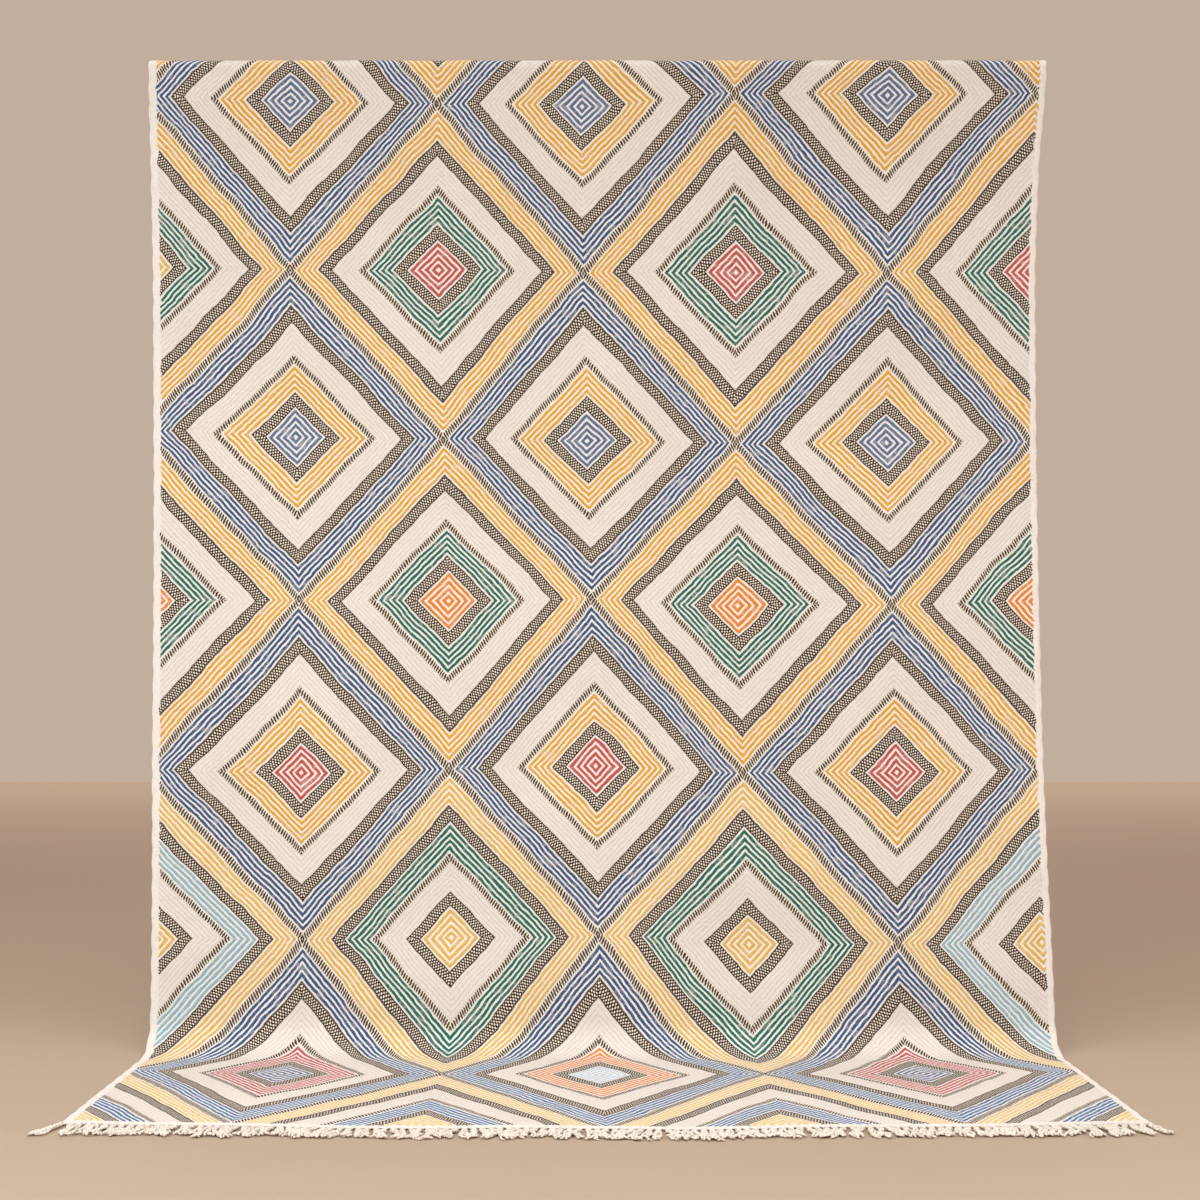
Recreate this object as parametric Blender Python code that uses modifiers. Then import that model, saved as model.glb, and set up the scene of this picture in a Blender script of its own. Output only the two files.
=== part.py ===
"""A kilim rug folded over at the top, hanging down and running out on the floor.

Blender 4.5, metres, +Z up. The face of the rug looks towards -Y. The origin lies on the floor, under the
middle of the whole object.

The cloth is one sheet. Every point of it is named by u, from -1 at the left selvedge to 1 at the right one,
and by s, the length along the cloth from the end that lies on the floor. The side view is a chain of
straight and round sections, and ripples stand a few millimetres out of it.
"""

import math
import random

import bmesh
import bpy

COLLECTION = "kilim_rug"

# The cloth as it was woven.
CLOTH_WIDTH = 2.000
CLOTH_LENGTH = 3.000
CLOTH_THICKNESS = 0.0032

# The side view, from the end on the floor up over the fold and down the back.
HANGING_PLANE_Y = 0.358
FOLD_RADIUS = 0.020
FLAP_LENGTH = 0.186
FOLD_LENGTH = math.pi * FOLD_RADIUS
FLOOR_LENGTH = 0.485
BEND_LENGTH = 0.117
SWEEP_LENGTH = 1.524
PLUMB_LENGTH = CLOTH_LENGTH - FLOOR_LENGTH - BEND_LENGTH - SWEEP_LENGTH - FOLD_LENGTH - FLAP_LENGTH
BEND_TURN = 83.8

# name, length in metres, turn in degrees (up from the floor is positive), rows of faces
SECTIONS = (
    ("floor", FLOOR_LENGTH, 0.0, 12),
    ("bend", BEND_LENGTH, BEND_TURN, 8),
    ("sweep", SWEEP_LENGTH, 90.0 - BEND_TURN, 28),
    ("plumb", PLUMB_LENGTH, 0.0, 12),
    ("fold", FOLD_LENGTH, -180.0, 10),
    ("flap", FLAP_LENGTH, 0.0, 4),
)
COLUMNS = 16

# How far each selvedge lies from x = 0: s in metres, left and right in millimetres.
SELVEDGES = (
    (0.000, 990, 1011),
    (0.375, 993, 1008),
    (0.785, 997, 1003),
    (1.160, 1005, 995),
    (1.910, 1011, 988),
    (2.285, 1013, 986),
    (2.535, 1018, 995),
    (2.660, 1022, 1007),
    (2.780, 1023, 1014),
    (3.000, 1020, 1010),
)
SCALLOP_DEPTH = 0.0025
SCALLOP_PITCH = 0.113

# Soft swells and hollows: place u and s, reach across and along in metres, height in millimetres.
RIPPLES = (
    (0.33, 0.770, 0.22, 0.16, -7.0),
    (0.30, 0.925, 0.36, 0.18, 4.0),
    (-0.32, 0.835, 0.44, 0.24, -4.0),
    (-0.05, 0.690, 0.60, 0.16, 3.5),
    (-0.92, 0.640, 0.24, 0.16, -5.0),
    (0.90, 0.670, 0.32, 0.24, 4.0),
    (-0.60, 1.335, 0.60, 0.50, 3.0),
    (0.55, 1.685, 0.70, 0.44, -3.0),
)
# The end on the floor: how far its middle lies in front of its corners, and how often it waves.
END_BOW = 0.038
END_WAVE = 0.005
END_WAVES = 3.5

# The fringes: a knotted strip along the end of the cloth, and one tooth for each tassel. The tips lean
# sideways in slow waves, are longer towards the corners, and on the floor splay outwards there.
TASSELS = 125
TASSEL_ROOT = 0.011
TASSEL_TIP = 0.006
TASSEL_LENGTH = 0.063
CORNER_LENGTH = 0.018
TASSEL_SCATTER = 0.010
TASSEL_LEAN = 0.006
TASSELS_PER_WAVE = 11.4
CORNER_SPLAY = 0.022
CORNER_TASSELS = 6
KNOT_STRIP = 0.014
FRINGE_THICKNESS = 0.008
FRINGE_GAP = 0.0003
FRINGE_SEED = 7

# name, base colour, roughness
MATERIALS = {
    "woven_wool": ((0.62, 0.52, 0.38), 0.92),
    "fringe_cotton": ((0.80, 0.72, 0.60), 0.95),
}


def clear_scene():
    for obj in list(bpy.data.objects):
        bpy.data.objects.remove(obj, do_unlink=True)


def new_collection(name):
    collection = bpy.data.collections.new(name)
    bpy.context.scene.collection.children.link(collection)
    return collection


def make_materials():
    made = {}
    for name, (colour, roughness) in MATERIALS.items():
        material = bpy.data.materials.new(name)
        material.use_nodes = True
        shader = material.node_tree.nodes["Principled BSDF"]
        shader.inputs["Base Color"].default_value = (*colour, 1.0)
        shader.inputs["Roughness"].default_value = roughness
        shader.inputs["Metallic"].default_value = 0.0
        made[name] = material
    return made


def between(table, at):
    """The row of a table at a value of its first column, read on straight lines between its rows."""
    for low, high in zip(table, table[1:]):
        if at <= high[0]:
            share = max(0.0, (at - low[0]) / (high[0] - low[0]))
            return [a + share * (b - a) for a, b in zip(low[1:], high[1:])]
    return list(table[-1][1:])


def soft_step(value):
    value = min(max(value, 0.0), 1.0)
    return value * value * (3 - 2 * value)


def side_view(s):
    """Forward and upward place of the cloth's middle at s, from its end, and its direction there."""
    along, up, angle = 0.0, 0.0, 0.0
    for _, length, degrees, _ in SECTIONS:
        step = min(s, length)
        turn = math.radians(degrees) * step / length
        if degrees:
            radius = length / math.radians(degrees)
            along += radius * (math.sin(angle + turn) - math.sin(angle))
            up += radius * (math.cos(angle) - math.cos(angle + turn))
        else:
            along += step * math.cos(angle)
            up += step * math.sin(angle)
        angle += turn
        s -= step
        if s <= 0:
            break
    return along, up, angle


def hanging_depth():
    """How far the hanging part lies behind the end on the floor."""
    return side_view(FLOOR_LENGTH + BEND_LENGTH + SWEEP_LENGTH)[0]


def end_reach(u):
    """How far the end on the floor lies in front of its corners."""
    return END_BOW * (1 - u * u) + END_WAVE * math.sin(END_WAVES * math.pi * u) * (1 - u * u)


def ripple(u, s):
    """How far the cloth stands out of the side view. It is flat on the floor and round the fold."""
    height = 0.0
    for at_u, at_s, sideways, lengthways, millimetres in RIPPLES:
        distance = math.hypot((u - at_u) * CLOTH_WIDTH / 2 / sideways, (s - at_s) / lengthways)
        height += millimetres / 1000 * soft_step(1 - distance)
    free = soft_step((s - FLOOR_LENGTH) / BEND_LENGTH)
    return height * free


def across(u, s):
    """The sideways place of a point of the cloth."""
    left, right = between(SELVEDGES, s)
    middle, half = (right - left) / 2000, (right + left) / 2000
    scallop = SCALLOP_DEPTH * math.sin(2 * math.pi * s / SCALLOP_PITCH + u) * u**6
    return middle + half * u + math.copysign(scallop, u)


def cloth_point(u, s):
    along, up, angle = side_view(s)
    out = ripple(u, s)
    forward = end_reach(u) * (1 - soft_step(s / FLOOR_LENGTH))
    y = HANGING_PLANE_Y - hanging_depth() + along - forward - out * math.sin(angle)
    z = CLOTH_THICKNESS / 2 + up + out * math.cos(angle)
    return across(u, s), y, z


def cloth_rows():
    """The value of s at each row of vertices."""
    rows, start = [0.0], 0.0
    for _, length, _, count in SECTIONS:
        rows += [start + length * (i + 1) / count for i in range(count)]
        start += length
    return rows


def make_cloth(materials, collection):
    """A grid of u and s laid on the cloth's middle, given its thickness both ways."""
    rows = cloth_rows()
    bm = bmesh.new()
    bmesh.ops.create_grid(bm, x_segments=COLUMNS, y_segments=len(rows) - 1, size=1.0)
    for vertex in bm.verts:
        row = round((vertex.co.y + 1) / 2 * (len(rows) - 1))
        vertex.co = cloth_point(vertex.co.x, rows[row])
    mesh = bpy.data.meshes.new("kilim_cloth")
    bm.to_mesh(mesh)
    bm.free()
    mesh.materials.append(materials["woven_wool"])
    mesh.shade_smooth()
    obj = bpy.data.objects.new("kilim_cloth", mesh)
    collection.objects.link(obj)
    solidify = obj.modifiers.new("thickness", "SOLIDIFY")
    solidify.thickness = CLOTH_THICKNESS
    solidify.offset = 0.0
    solidify.use_even_offset = True


def tooth(index, splay, rng):
    """One tassel: u at its middle, how far its tip leans sideways, and its length."""
    u = -1 + (2 * index + 1) / TASSELS
    from_corner = min(index, TASSELS - 1 - index)
    outwards = splay * max(0.0, 1 - from_corner / CORNER_TASSELS) ** 2
    wave = math.sin(2 * math.pi * index / TASSELS_PER_WAVE)
    lean = TASSEL_LEAN * wave + math.copysign(outwards, u)
    length = TASSEL_LENGTH + CORNER_LENGTH * u**4 + rng.uniform(-TASSEL_SCATTER, TASSEL_SCATTER)
    return u, lean, length


def comb_outline(s, reach, splay):
    """A comb's outline, as points across and away from the end of the cloth that lies at s."""
    rng = random.Random(FRINGE_SEED)
    columns = [1 - 2 * column / COLUMNS for column in range(COLUMNS + 1)]
    points = [(across(u, s), reach(u) + FRINGE_GAP) for u in columns]
    for index in range(TASSELS):
        u, lean, length = tooth(index, splay, rng)
        x, start = across(u, s), reach(u)
        points += [
            (x - TASSEL_ROOT / 2, start + KNOT_STRIP),
            (x + lean - TASSEL_TIP / 2, start + length),
            (x + lean + TASSEL_TIP / 2, start + length),
            (x + TASSEL_ROOT / 2, start + KNOT_STRIP),
        ]
    return points


def make_comb(name, points, materials, collection):
    """A flat comb in its own XY plane, with its teeth towards -Y."""
    curve = bpy.data.curves.new(name, "CURVE")
    curve.dimensions = "2D"
    curve.fill_mode = "BOTH"
    curve.extrude = FRINGE_THICKNESS / 2
    spline = curve.splines.new("POLY")
    spline.points.add(len(points) - 1)
    for point, (x, away) in zip(spline.points, points):
        point.co = (x, -away, 0.0, 1.0)
    spline.use_cyclic_u = True
    curve.materials.append(materials["fringe_cotton"])
    obj = bpy.data.objects.new(name, curve)
    collection.objects.link(obj)
    return obj


def make_front_fringe(materials, collection):
    """The comb on the floor, with its teeth away from the rug."""
    outline = comb_outline(0.0, end_reach, CORNER_SPLAY)
    comb = make_comb("front_fringe", outline, materials, collection)
    comb.location = (0.0, HANGING_PLANE_Y - hanging_depth(), FRINGE_THICKNESS / 2)


def make_back_fringe(materials, collection):
    """The comb behind the fold, with its teeth hanging down."""
    outline = comb_outline(CLOTH_LENGTH, lambda u: 0.0, 0.0)
    comb = make_comb("back_fringe", outline, materials, collection)
    up = side_view(CLOTH_LENGTH)[1]
    comb.location = (0.0, HANGING_PLANE_Y + 2 * FOLD_RADIUS, CLOTH_THICKNESS / 2 + up)
    comb.rotation_euler = (math.radians(90), 0.0, 0.0)


def main():
    clear_scene()
    collection = new_collection(COLLECTION)
    materials = make_materials()
    make_cloth(materials, collection)
    make_front_fringe(materials, collection)
    make_back_fringe(materials, collection)


main()
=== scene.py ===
"""The looks of a kilim rug that is folded over at the top, hangs down and runs out on the floor.

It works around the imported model, in the same frame: metres, +Z up, the face of the rug towards -Y.

Every point of the cloth is named by u, from -1 at the left selvedge to 1 at the right one, and by s, the
length along the cloth from the end on the floor. The pattern is a lattice of diamonds: column 0 is the left
selvedge and column 6 the right one, and the rows run from -1 behind the fold to 7 at the end on the floor.
Diamonds have their middles where column plus row is odd, and touch at their points where it is even.
"""

import math
import random

import bmesh
import bpy
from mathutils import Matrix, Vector, noise


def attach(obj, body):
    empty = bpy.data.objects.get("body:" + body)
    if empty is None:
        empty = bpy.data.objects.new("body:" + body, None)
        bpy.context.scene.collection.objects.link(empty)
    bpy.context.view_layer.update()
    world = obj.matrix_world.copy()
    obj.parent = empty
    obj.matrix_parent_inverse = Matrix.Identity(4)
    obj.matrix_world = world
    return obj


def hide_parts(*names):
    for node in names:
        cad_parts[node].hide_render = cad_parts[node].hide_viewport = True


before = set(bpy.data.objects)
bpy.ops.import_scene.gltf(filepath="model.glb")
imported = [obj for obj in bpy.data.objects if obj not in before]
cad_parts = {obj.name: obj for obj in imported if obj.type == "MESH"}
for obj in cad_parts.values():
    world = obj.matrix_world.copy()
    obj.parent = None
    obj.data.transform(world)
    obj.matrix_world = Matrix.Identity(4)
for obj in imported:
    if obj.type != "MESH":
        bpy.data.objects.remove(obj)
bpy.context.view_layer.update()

# ---------------------------------------------------------------- the camera, the light and the floor

CAMERA_PLACE = (0.0, -3.048, 0.771)
CAMERA_LENS = 45.0
CAMERA_SENSOR = 36.0
CAMERA_SHIFT_UP = 0.088

# name, place, what it points at, width and height in metres, watts, colour
LIGHTS = (
    ("key", (-3.2, -2.6, 2.2), (0.0, 0.2, 1.2), (2.6, 2.2), 52.0, (0.67, 0.90, 1.00)),
    ("fill", (3.2, -2.6, 2.2), (0.0, 0.2, 1.2), (2.6, 2.2), 10.0, (0.80, 0.90, 1.00)),
    ("top", (0.0, -2.2, 2.4), (0.0, -2.0, 0.0), (6.4, 1.4), 134.0, (0.79, 0.915, 1.00)),
    ("ceiling", (0.0, -0.6, 4.0), (0.0, -0.3, 0.0), (5.0, 1.0), 46.0, (0.79, 0.90, 1.00)),
    ("far", (0.0, 12.0, 5.0), (0.0, 10.5, 0.0), (20.0, 5.0), 550.0, (0.92, 0.96, 1.00)),
)
ROOM_COLOUR = (194, 174, 156)
FLOOR_COLOUR = (180, 156, 134)
FLOOR_SIZE = 24.0
FLOOR_FACES = 8
# The floor's faint clouds: how quickly they change, how bright the darkest are, and how much rougher the
# brightest are.
FLOOR_CLOUDS = 1.3
FLOOR_DETAIL = 3.0
FLOOR_DARKEST = 0.93
FLOOR_ROUGHNESS = 0.62
FLOOR_ROUGHER = 0.1
FLOOR_SURFACE = {"Specular IOR Level": 0.3}

# ---------------------------------------------------------------- the cloth, as part.py lays it out

CLOTH_WIDTH = 2.000
CLOTH_LENGTH = 3.000
CLOTH_THICKNESS = 0.0032
HANGING_PLANE_Y = 0.358
FOLD_RADIUS = 0.020
FLAP_LENGTH = 0.186
FOLD_LENGTH = math.pi * FOLD_RADIUS
FLOOR_LENGTH = 0.485
BEND_LENGTH = 0.117
SWEEP_LENGTH = 1.524
PLUMB_LENGTH = CLOTH_LENGTH - FLOOR_LENGTH - BEND_LENGTH - SWEEP_LENGTH - FOLD_LENGTH - FLAP_LENGTH
BEND_TURN = 83.8

# name, length in metres, turn in degrees (up from the floor is positive), rows of faces
SECTIONS = (
    ("floor", FLOOR_LENGTH, 0.0, 37),
    ("bend", BEND_LENGTH, BEND_TURN, 18),
    ("sweep", SWEEP_LENGTH, 90.0 - BEND_TURN, 112),
    ("plumb", PLUMB_LENGTH, 0.0, 46),
    ("fold", FOLD_LENGTH, -180.0, 14),
    ("flap", FLAP_LENGTH, 0.0, 14),
)

# How far each selvedge lies from x = 0: s in metres, left and right in millimetres.
SELVEDGES = (
    (0.000, 990, 1011),
    (0.375, 993, 1008),
    (0.785, 997, 1003),
    (1.160, 1005, 995),
    (1.910, 1011, 988),
    (2.285, 1013, 986),
    (2.535, 1018, 995),
    (2.660, 1022, 1007),
    (2.780, 1023, 1014),
    (3.000, 1020, 1010),
)
SCALLOP_DEPTH = 0.0025
SCALLOP_PITCH = 0.113

# Soft swells and hollows: place u and s, reach across and along in metres, height in millimetres.
RIPPLES = (
    (0.33, 0.770, 0.22, 0.16, -7.0),
    (0.30, 0.925, 0.36, 0.18, 4.0),
    (-0.32, 0.835, 0.44, 0.24, -4.0),
    (-0.05, 0.690, 0.60, 0.16, 3.5),
    (-0.92, 0.640, 0.24, 0.16, -5.0),
    (0.90, 0.670, 0.32, 0.24, 4.0),
    (-0.60, 1.335, 0.60, 0.50, 3.0),
    (0.55, 1.685, 0.70, 0.44, -3.0),
)
END_BOW = 0.038
END_WAVE = 0.005
END_WAVES = 3.5

# The small swells of hand-woven cloth: how quickly they change, and their height in metres.
SWELLS = ((9.0, 0.0012), (34.0, 0.0005))
# How many faces there are across, between the corded selvedges. These are rounded off: u, and the share of
# the cloth's thickness there. At both ends the cloth is thinner too.
COLUMNS = 146
SELVEDGE = ((0.9870, 1.05), (0.9920, 1.25), (0.9962, 1.20), (0.9988, 0.85), (1.0, 0.30))
END_HEIGHT = 0.55
# How much of the cloth's map for baked pictures its face takes up.
FACE_SHARE = 0.72

# ---------------------------------------------------------------- the lattice of the pattern

# Where the columns 0 to 6 lie across (u, in thousandths), and the rows 7 to -1 along (s, in millimetres).
COLUMN_PLACES = (-985, -670, -338, -8, 327, 663, 988)
ROW_PLACES = (5, 385, 782, 1157, 1536, 1911, 2289, 2683, 3058)
LAST_COLUMN = 6
FIRST_ROW = -1
LAST_ROW = 7

# How far hand work has moved the nodes of the lattice, to the right and up, in millimetres. Each line is a
# row: its number, and then a pair for each of the columns 0 to 6.
NODE_MOVES = (
    (7, (0, 12), (-20, -1), (0, 14), (9, -12), (2, 14), (-2, 2), (0, 10)),
    (6, (-12, 3), (1, -22), (0, -18), (0, -27), (8, -19), (3, -19), (0, -10)),
    (5, (-22, -1), (5, -1), (3, 2), (2, 6), (1, -13), (-3, -10), (-10, -10)),
    (4, (-26, 0), (3, -7), (4, 3), (4, 10), (-2, -7), (8, -3), (0, 0)),
    (3, (-31, 6), (-2, 3), (4, 4), (-2, 7), (-6, -8), (4, -5), (2, 5)),
    (2, (-35, 17), (-8, -1), (-5, -3), (-10, -6), (-8, -13), (-1, -12), (0, -6)),
    (1, (-31, 10), (-19, 3), (-17, 2), (-17, -2), (-5, -4), (4, -2), (2, -5)),
    (0, (-29, 4), (-16, -10), (-18, -14), (-26, -20), (-19, 12), (-13, 4), (-7, 10)),
    (-1, (0, 0), (-10, 0), (-12, 0), (-12, 0), (-10, 0), (-8, 0), (0, 0)),
)

# ---------------------------------------------------------------- the yarns

YARNS = {
    "cream": (231, 218, 207),
    "white": (240, 231, 223),
    # The darker cream in the hollows between the ridges: painted shade.
    "ridge_shade": (219, 204, 192),
    "dot": (242, 226, 206),
    "selvedge": (236, 224, 214),
    "black": (45, 27, 17),
    "faded_black": (84, 55, 38),
    "blue": (56, 82, 122),
    "yellow": (224, 162, 46),
    "pale_yellow": (226, 176, 84),
    "green": (30, 102, 86),
    "red": (190, 80, 74),
    "orange": (226, 130, 38),
    "slate": (92, 108, 140),
    # clear_blue and lemon also serve as the outer ribs' lighter yarns on the floor part, which are painted
    # light.
    "clear_blue": (50, 102, 148),
    "lemon": (230, 188, 98),
    "light_blue": (146, 174, 184),
    "pale_blue": (196, 210, 220),
}

# The ribs of the diamonds in each row, from -1 to 8: the outer four, the middle four, and the centre. The
# outer ones take lighter, clearer yarns near the end that lies on the floor, up to there in metres: this is
# painted light, for the part on the floor that the lights from above make brighter.
OUTER_RIBS = (
    "yellow", "blue", "yellow", "blue", "yellow", "blue", "pale_yellow", "blue", "pale_yellow", "blue",
)
# The outer ribs' lighter yarns for the part on the floor: painted light.
FLOOR_LIT_OUTER_RIBS = (
    "yellow", "blue", "yellow", "blue", "yellow", "blue", "lemon", "clear_blue", "lemon", "clear_blue",
)
FLOOR_LIGHT_ENDS = (0.46, 0.54)
MIDDLE_RIBS = (
    "green", "yellow", "green", "yellow", "green", "yellow", "green", "red", "clear_blue", "blue",
)
CENTRE_RIBS = (
    "orange", "slate", "red", "slate", "orange", "red", "pale_yellow", "slate", "lemon", "slate",
)
# The diamonds that differ from the rest of their row: first and last column, row, ribs, yarn.
ODD_ONES = (
    (3, 3, 6, "middle", "orange"),
    (3, 3, 6, "centre", "pale_blue"),
    (0, 0, 5, "middle", "light_blue"),
    (6, 6, 5, "middle", "light_blue"),
    (0, 0, 1, "centre", "pale_yellow"),
)
# In this row the middle ribs and the plain field next to them have changed places.
SWAPPED_ROW = 5

# How far the bands lie from the middle of a diamond, as shares of the way to its edge.
CENTRE_EDGE = 0.190
MIDDLE_BAND = (0.292, 0.466)
PLAIN_BAND = (0.526, 0.698)
OUTER_BAND = (0.802, 0.966)
DOTTED_BANDS = ((0.195, 0.286), (0.702, 0.796))
HATCHED_BANDS = ((0.472, 0.521), (0.970, 1.100))
HATCH_CORES = ((0.490, 0.503), (0.992, 1.100))
# How softly a band goes over into the next one: ribbed bands and dark ones.
BAND_SOFT = 0.008
DARK_BAND_SOFT = 0.006
# Where ribs have their middles: the first one and the pitch.
CENTRE_PITCH = (0.031, 0.0443)
MIDDLE_PITCH = (0.319, 0.0403)
SWAPPED_PITCH = (0.550, 0.0410)
OUTER_PITCH = (0.825, 0.0393)
RIDGE_PITCH = (0.0, 0.0340)
# Dots: their pitch along a dotted band, the pitch of their rows, and the dark line along the band's edges.
DOTS_ALONG = 0.0270
DOT_ROWS = 0.0200
DOTS_EDGE = 0.0100
# The dashes of a hatch and the stitches of a rib: their pitches, and how far both lean.
DASH_PITCH = 0.0265
STITCH_PITCH = 0.0190
LEAN = 0.30
# How far the woven lines stray, slowly and from one rib to the next, and how quickly that changes.
SLOW_WOBBLE = 0.038
SLOW_SCALE = 9.0
QUICK_WOBBLE = 0.012
QUICK_SCALE = 58.0
WOBBLE_DETAIL = 1.0
# How much nearer the middle the bands pass at a diamond's upper and lower points, and how much farther
# from it at the side points.
TALL_POINT_PULL = 0.022
SIDE_POINT_PUSH = 0.016
# Keeps a division from zero in the very middle of a diamond.
ALMOST_NOTHING = 0.001

# Plain strips at the selvedges, how much wider the left one is than the right one, and the strip at the end
# on the floor, in metres. The bands run into them raggedly, as the fibres and the yarns lie.
SELVEDGE_STRIP = 0.0158
SELVEDGE_DIFFERENCE = 0.0024
END_STRIP = 0.013
STRIP_SOFT = 0.002
RAGGED_FIBRES = 0.010
RAGGED_YARN = 0.008

# ---------------------------------------------------------------- how the wool varies

# How quickly three noises change: from fibre to fibre, along a yarn, and from one dye lot to the next.
FIBRE_SCALE = 150.0
YARN_SCALE = 34.0
DYE_SCALE = 4.0
WOOL_DETAIL = 2.0
# The grain of the weave: its pitch along the cloth and across it, in metres.
WEFT_PITCH = 0.0034
WARP_PITCH = 0.0052

# Pairs named EDGE or FROM give the values of a wave or a noise where a colour sets in and where it is full.
# Where the painted shade in the hollows between the ridges sets in and where it is full.
RIDGE_SHADE_EDGE = (-1.0, 0.2)
# Ribs, and how much their stitches, their yarn and its fibres move their edges.
RIB_EDGE = (-0.60, 0.00)
RIB_STITCHES = 0.22
RIB_YARN = 0.9
RIB_FIBRES = 0.7
# How much of a rib's colour its neighbouring white yarns take on.
GAP_TINT = 0.05
# Worn stretches of a rib, how much the fibres break them up, and how far they have gone to cream.
WORN_FROM = (0.50, 0.80)
WORN_FIBRES = 0.6
WORN_SHARE = 0.36
# Black yarn that has faded, the dots and the dashes on it, and how much the fibres fray those.
FADED_FROM = (0.40, 0.80)
DOT_EDGE = (0.12, 0.34)
DOT_FIBRES = 0.3
DASH_EDGE = (0.00, 0.40)
DASH_FIBRES = 0.4
# How much darker the middle of a hatch is.
CORE_DARK = 0.45
# The pale flecks of the reverse.
FLECKS_FROM = (0.40, 0.60)
FLECKS_SHARE = 0.45

# Roughness, and how far fibres change it in wool and in cotton.
WOOL_ROUGHNESS = 0.80
ROUGHNESS_FIBRES = 0.2
WOOL_SURFACE = {"Specular IOR Level": 0.15, "Sheen Weight": 0.06, "Sheen Roughness": 0.6}
# Brightness, and how far dye, fibres and grain change it.
SHADE = 0.97
DYE_SHADE = 0.12
FIBRE_SHADE = 0.20
GRAIN_SHADE = 0.03
# Heights, as shares of the bump's depth in metres.
BUMP_DEPTH = 0.0016
BUMP_STRENGTH = 0.75
RIDGE_HEIGHT = 0.15
RIB_HEIGHT = 0.5
DARK_HEIGHT = 0.4
FIBRE_HEIGHT = 0.9
GRAIN_HEIGHT = 0.12

# ---------------------------------------------------------------- the fringes, as part.py lays them out

TASSELS = 125
TASSEL_LENGTH = 0.063
CORNER_LENGTH = 0.018
TASSEL_SCATTER = 0.010
TASSEL_LEAN = 0.006
TASSELS_PER_WAVE = 11.4
CORNER_SPLAY = 0.022
CORNER_TASSELS = 6
FRINGE_SEED = 7

# ---------------------------------------------------------------- what the tassels are made of

LOOK_SEED = 31
# The warps between the cloth and a knot.
ROOT_STRANDS = 3
ROOT_SPREAD = 0.0052
ROOT_RADIUS = 0.0016
ROOT_BOW = 0.0006
# away from the cloth's end and height in metres, share of the spread, share of the bow
ROOT_POINTS = (
    (-0.004, 0.0026, 1.05, 0),
    (0.003, 0.0028, 0.75, 1),
    (0.008, 0.0034, 0.45, 1),
)
ROOT_SPREAD_IN_KNOT = 0.20
# How far from the cloth's end a knot lies, and how much that and its place sideways vary.
KNOT_PLACE = 0.0150
KNOT_AWAY = (-0.003, 0.0035)
KNOT_SIDEWAYS = 0.0012
# The share of its tassel's lean that a knot takes.
KNOT_LEAN = 0.15
# Half of a knot's width, length and height, how much they vary, and how far it tilts.
KNOT_SIZE = (0.0056, 0.0062, 0.0046)
KNOT_VARIES = (0.86, 1.14)
KNOT_TILT = 0.35
KNOT_RINGS = 7
KNOT_SIDES = 10
# A knot's bulge: the start and the length of its arc, as shares of a half circle, its power and its least.
BULGE_ARC = (0.08, 0.84)
BULGE_POWER = 0.6
BULGE_LEAST = 0.2
# The waist across a knot: how deep and how long it is, as shares of the knot.
WAIST_DEPTH = 0.14
WAIST_LENGTH = 0.13
# The strands below a knot: how many, how thick, how wide the circle that they wind on, and how often.
SKIRT_STRANDS = 5
SKIRT_RADIUS = (0.0024, 0.0034)
SKIRT_CIRCLE = 0.0034
SKIRT_TURNS = (0.5, 1.2)
# How much of that circle is lost towards the tips, and how high it is for its width.
SKIRT_CLOSING = 0.5
SKIRT_FLATNESS = 0.8
# How far all strands swing out and lean, and how far each strays and curls.
SKIRT_SWING = 0.009
SKIRT_LEAN = 0.010
SKIRT_SPREAD = 0.0120
SKIRT_CURL = 0.0062
CURL_SHARE = (0.4, 1.0)
CURL_PACE = 9
LEAN_POWER = 1.4
SPREAD_POWER = 0.8
# The strands' length as a share of the tassel's, and how soon they come down from the knot's height.
SKIRT_REACH = (0.80, 1.0)
SETTLE_PACE = 2.2
# How much thinner a strand gets on its way, from where on its tip narrows, by how much, and its flatness.
STRAND_TAPER = 0.10
TIP_FROM = 0.88
TIP_TAPER = 0.50
STRAND_FLATNESS = 0.92
ROOT_FLATNESS = 0.9
STRAND_STEPS = 12
STRAND_SIDES = 6
# Twisted plies: the length of a turn, how many plies, and how far they stand out as lobes.
TWIST_PITCH = 0.024
PLIES = 3.0
LOBE = 0.14
# Nothing in a fringe goes lower than this over what it lies on.
LOWEST = 0.0002
# How far the back fringe lies in from the middle of the cloth that it hangs from.
BACK_INSET = 0.0040

COTTON = {
    "pale": (244, 232, 219),
    "deep": (234, 219, 204),
    "fibre": (216, 198, 180),
    # The grooves between the plies are painted darker: painted shade.
    "groove_shade": (202, 182, 163),
}
COTTON_SCALE = 420.0
COTTON_DETAIL = 2.0
# The values of the fibres' noise and of the plies' wave where a colour sets in and where it is full.
COTTON_FROM = (0.40, 0.85)
GROOVE_SHADE_EDGE = (-1.0, -0.5)
COTTON_ROUGHNESS = 0.82
COTTON_BUMP_DEPTH = 0.0008
COTTON_BUMP_STRENGTH = 0.6
PLY_HEIGHT = 0.5
COTTON_SURFACE = {"Specular IOR Level": 0.25, "Sheen Weight": 0.15}


def linear(colour):
    """A colour given in the 0 to 255 steps of a screen, as Blender's linear numbers."""
    shares = [value / 255 for value in colour]
    return [c / 12.92 if c <= 0.04045 else ((c + 0.055) / 1.055) ** 2.4 for c in shares]


def dyed(yarn):
    return linear(YARNS[yarn])


def soft_step(value):
    value = min(max(value, 0.0), 1.0)
    return value * value * (3 - 2 * value)


# ---------------------------------------------------------------- the shape of the cloth


def between(table, at):
    """The row of a table at a value of its first column, read on straight lines between its rows."""
    for low, high in zip(table, table[1:]):
        if at <= high[0]:
            share = max(0.0, (at - low[0]) / (high[0] - low[0]))
            return [a + share * (b - a) for a, b in zip(low[1:], high[1:])]
    return list(table[-1][1:])


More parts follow.
